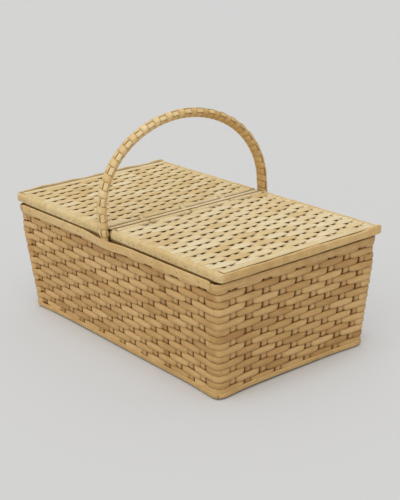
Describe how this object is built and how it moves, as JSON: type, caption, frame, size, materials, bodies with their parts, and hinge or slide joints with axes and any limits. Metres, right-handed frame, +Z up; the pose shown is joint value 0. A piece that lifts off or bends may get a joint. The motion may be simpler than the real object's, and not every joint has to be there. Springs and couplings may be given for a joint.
{
  "type": "picnic basket",
  "caption": "Rectangular woven picnic basket with tapering walls, flat woven lids hinged on a centre bar and a fixed wrapped handle arching over the middle.",
  "frame": {"origin": "middle of the footprint, on the surface that the basket stands on", "axes": "+X along the basket towards the right lid, the front long wall faces -Y, +Z up"},
  "size_m": [0.44, 0.2716, 0.291],
  "materials": {
    "wall_weave": "plain-woven dried straw strips, satin, tones varying from strip to strip",
    "lid_weave": "plain-woven dried straw strips, paler than the walls, satin",
    "band_strip": "flat split straw strip with fine lengthwise grain, satin",
    "handle_strip": "flat split cane, smooth satin",
    "bare_cane": "round cane, matt, fine lengthwise grain",
    "bamboo_slat": "split bamboo, satin",
    "nail_steel": "plain wire nail"
  },
  "bodies": {
    "basket": {"base_panel": "wall_weave", "base_slat_front": "bamboo_slat", "base_slat_middle": "bamboo_slat", "base_slat_back": "bamboo_slat", "front_wall": "wall_weave", "rim_band_outer_front": "band_strip", "rim_band_inner_front": "band_strip", "rim_cane_front": "bare_cane", "bottom_band_front": "band_strip", "right_wall": "wall_weave", "rim_band_outer_right": "band_strip", "rim_band_inner_right": "band_strip", "rim_cane_right": "bare_cane", "bottom_band_right": "band_strip", "back_wall": "wall_weave", "rim_band_outer_back": "band_strip", "rim_band_inner_back": "band_strip", "rim_cane_back": "bare_cane", "bottom_band_back": "band_strip", "left_wall": "wall_weave", "rim_band_outer_left": "band_strip", "rim_band_inner_left": "band_strip", "rim_cane_left": "bare_cane", "bottom_band_left": "band_strip", "corner_post_front_left": "bare_cane", "corner_post_front_right": "bare_cane", "corner_post_back_left": "bare_cane", "corner_post_back_right": "bare_cane", "handle_core": "bare_cane", "handle_wrap": "handle_strip", "handle_leader_left": "handle_strip", "handle_leader_right": "handle_strip", "bar_nail_front": "nail_steel", "leg_nail_front": "nail_steel", "bar_nail_back": "nail_steel", "leg_nail_back": "nail_steel", "center_beam": "bamboo_slat", "center_strip": "band_strip", "bar_cane_left": "bare_cane", "bar_cane_right": "bare_cane", "left_hinge_loop_front": "handle_strip", "left_hinge_loop_middle": "handle_strip", "left_hinge_loop_back": "handle_strip", "right_hinge_loop_front": "handle_strip", "right_hinge_loop_middle": "handle_strip", "right_hinge_loop_back": "handle_strip"},
    "left_lid": {"left_lid_panel": "lid_weave", "left_lid_hinge_rod": "bare_cane", "left_lid_border_front": "band_strip", "left_lid_border_back": "band_strip", "left_lid_border_end": "band_strip"},
    "right_lid": {"right_lid_panel": "lid_weave", "right_lid_hinge_rod": "bare_cane", "right_lid_border_front": "band_strip", "right_lid_border_back": "band_strip", "right_lid_border_end": "band_strip"}
  },
  "joints": [
    {"name": "left_lid_hinge", "type": "hinge", "parent": "basket", "child": "left_lid", "pos_m": [-0.0116, 0, 0.159], "axis": [0, 1, 0], "range_deg": [0, 90]},
    {"name": "right_lid_hinge", "type": "hinge", "parent": "basket", "child": "right_lid", "pos_m": [0.0116, 0, 0.159], "axis": [0, -1, 0], "range_deg": [0, 90]}
  ]
}
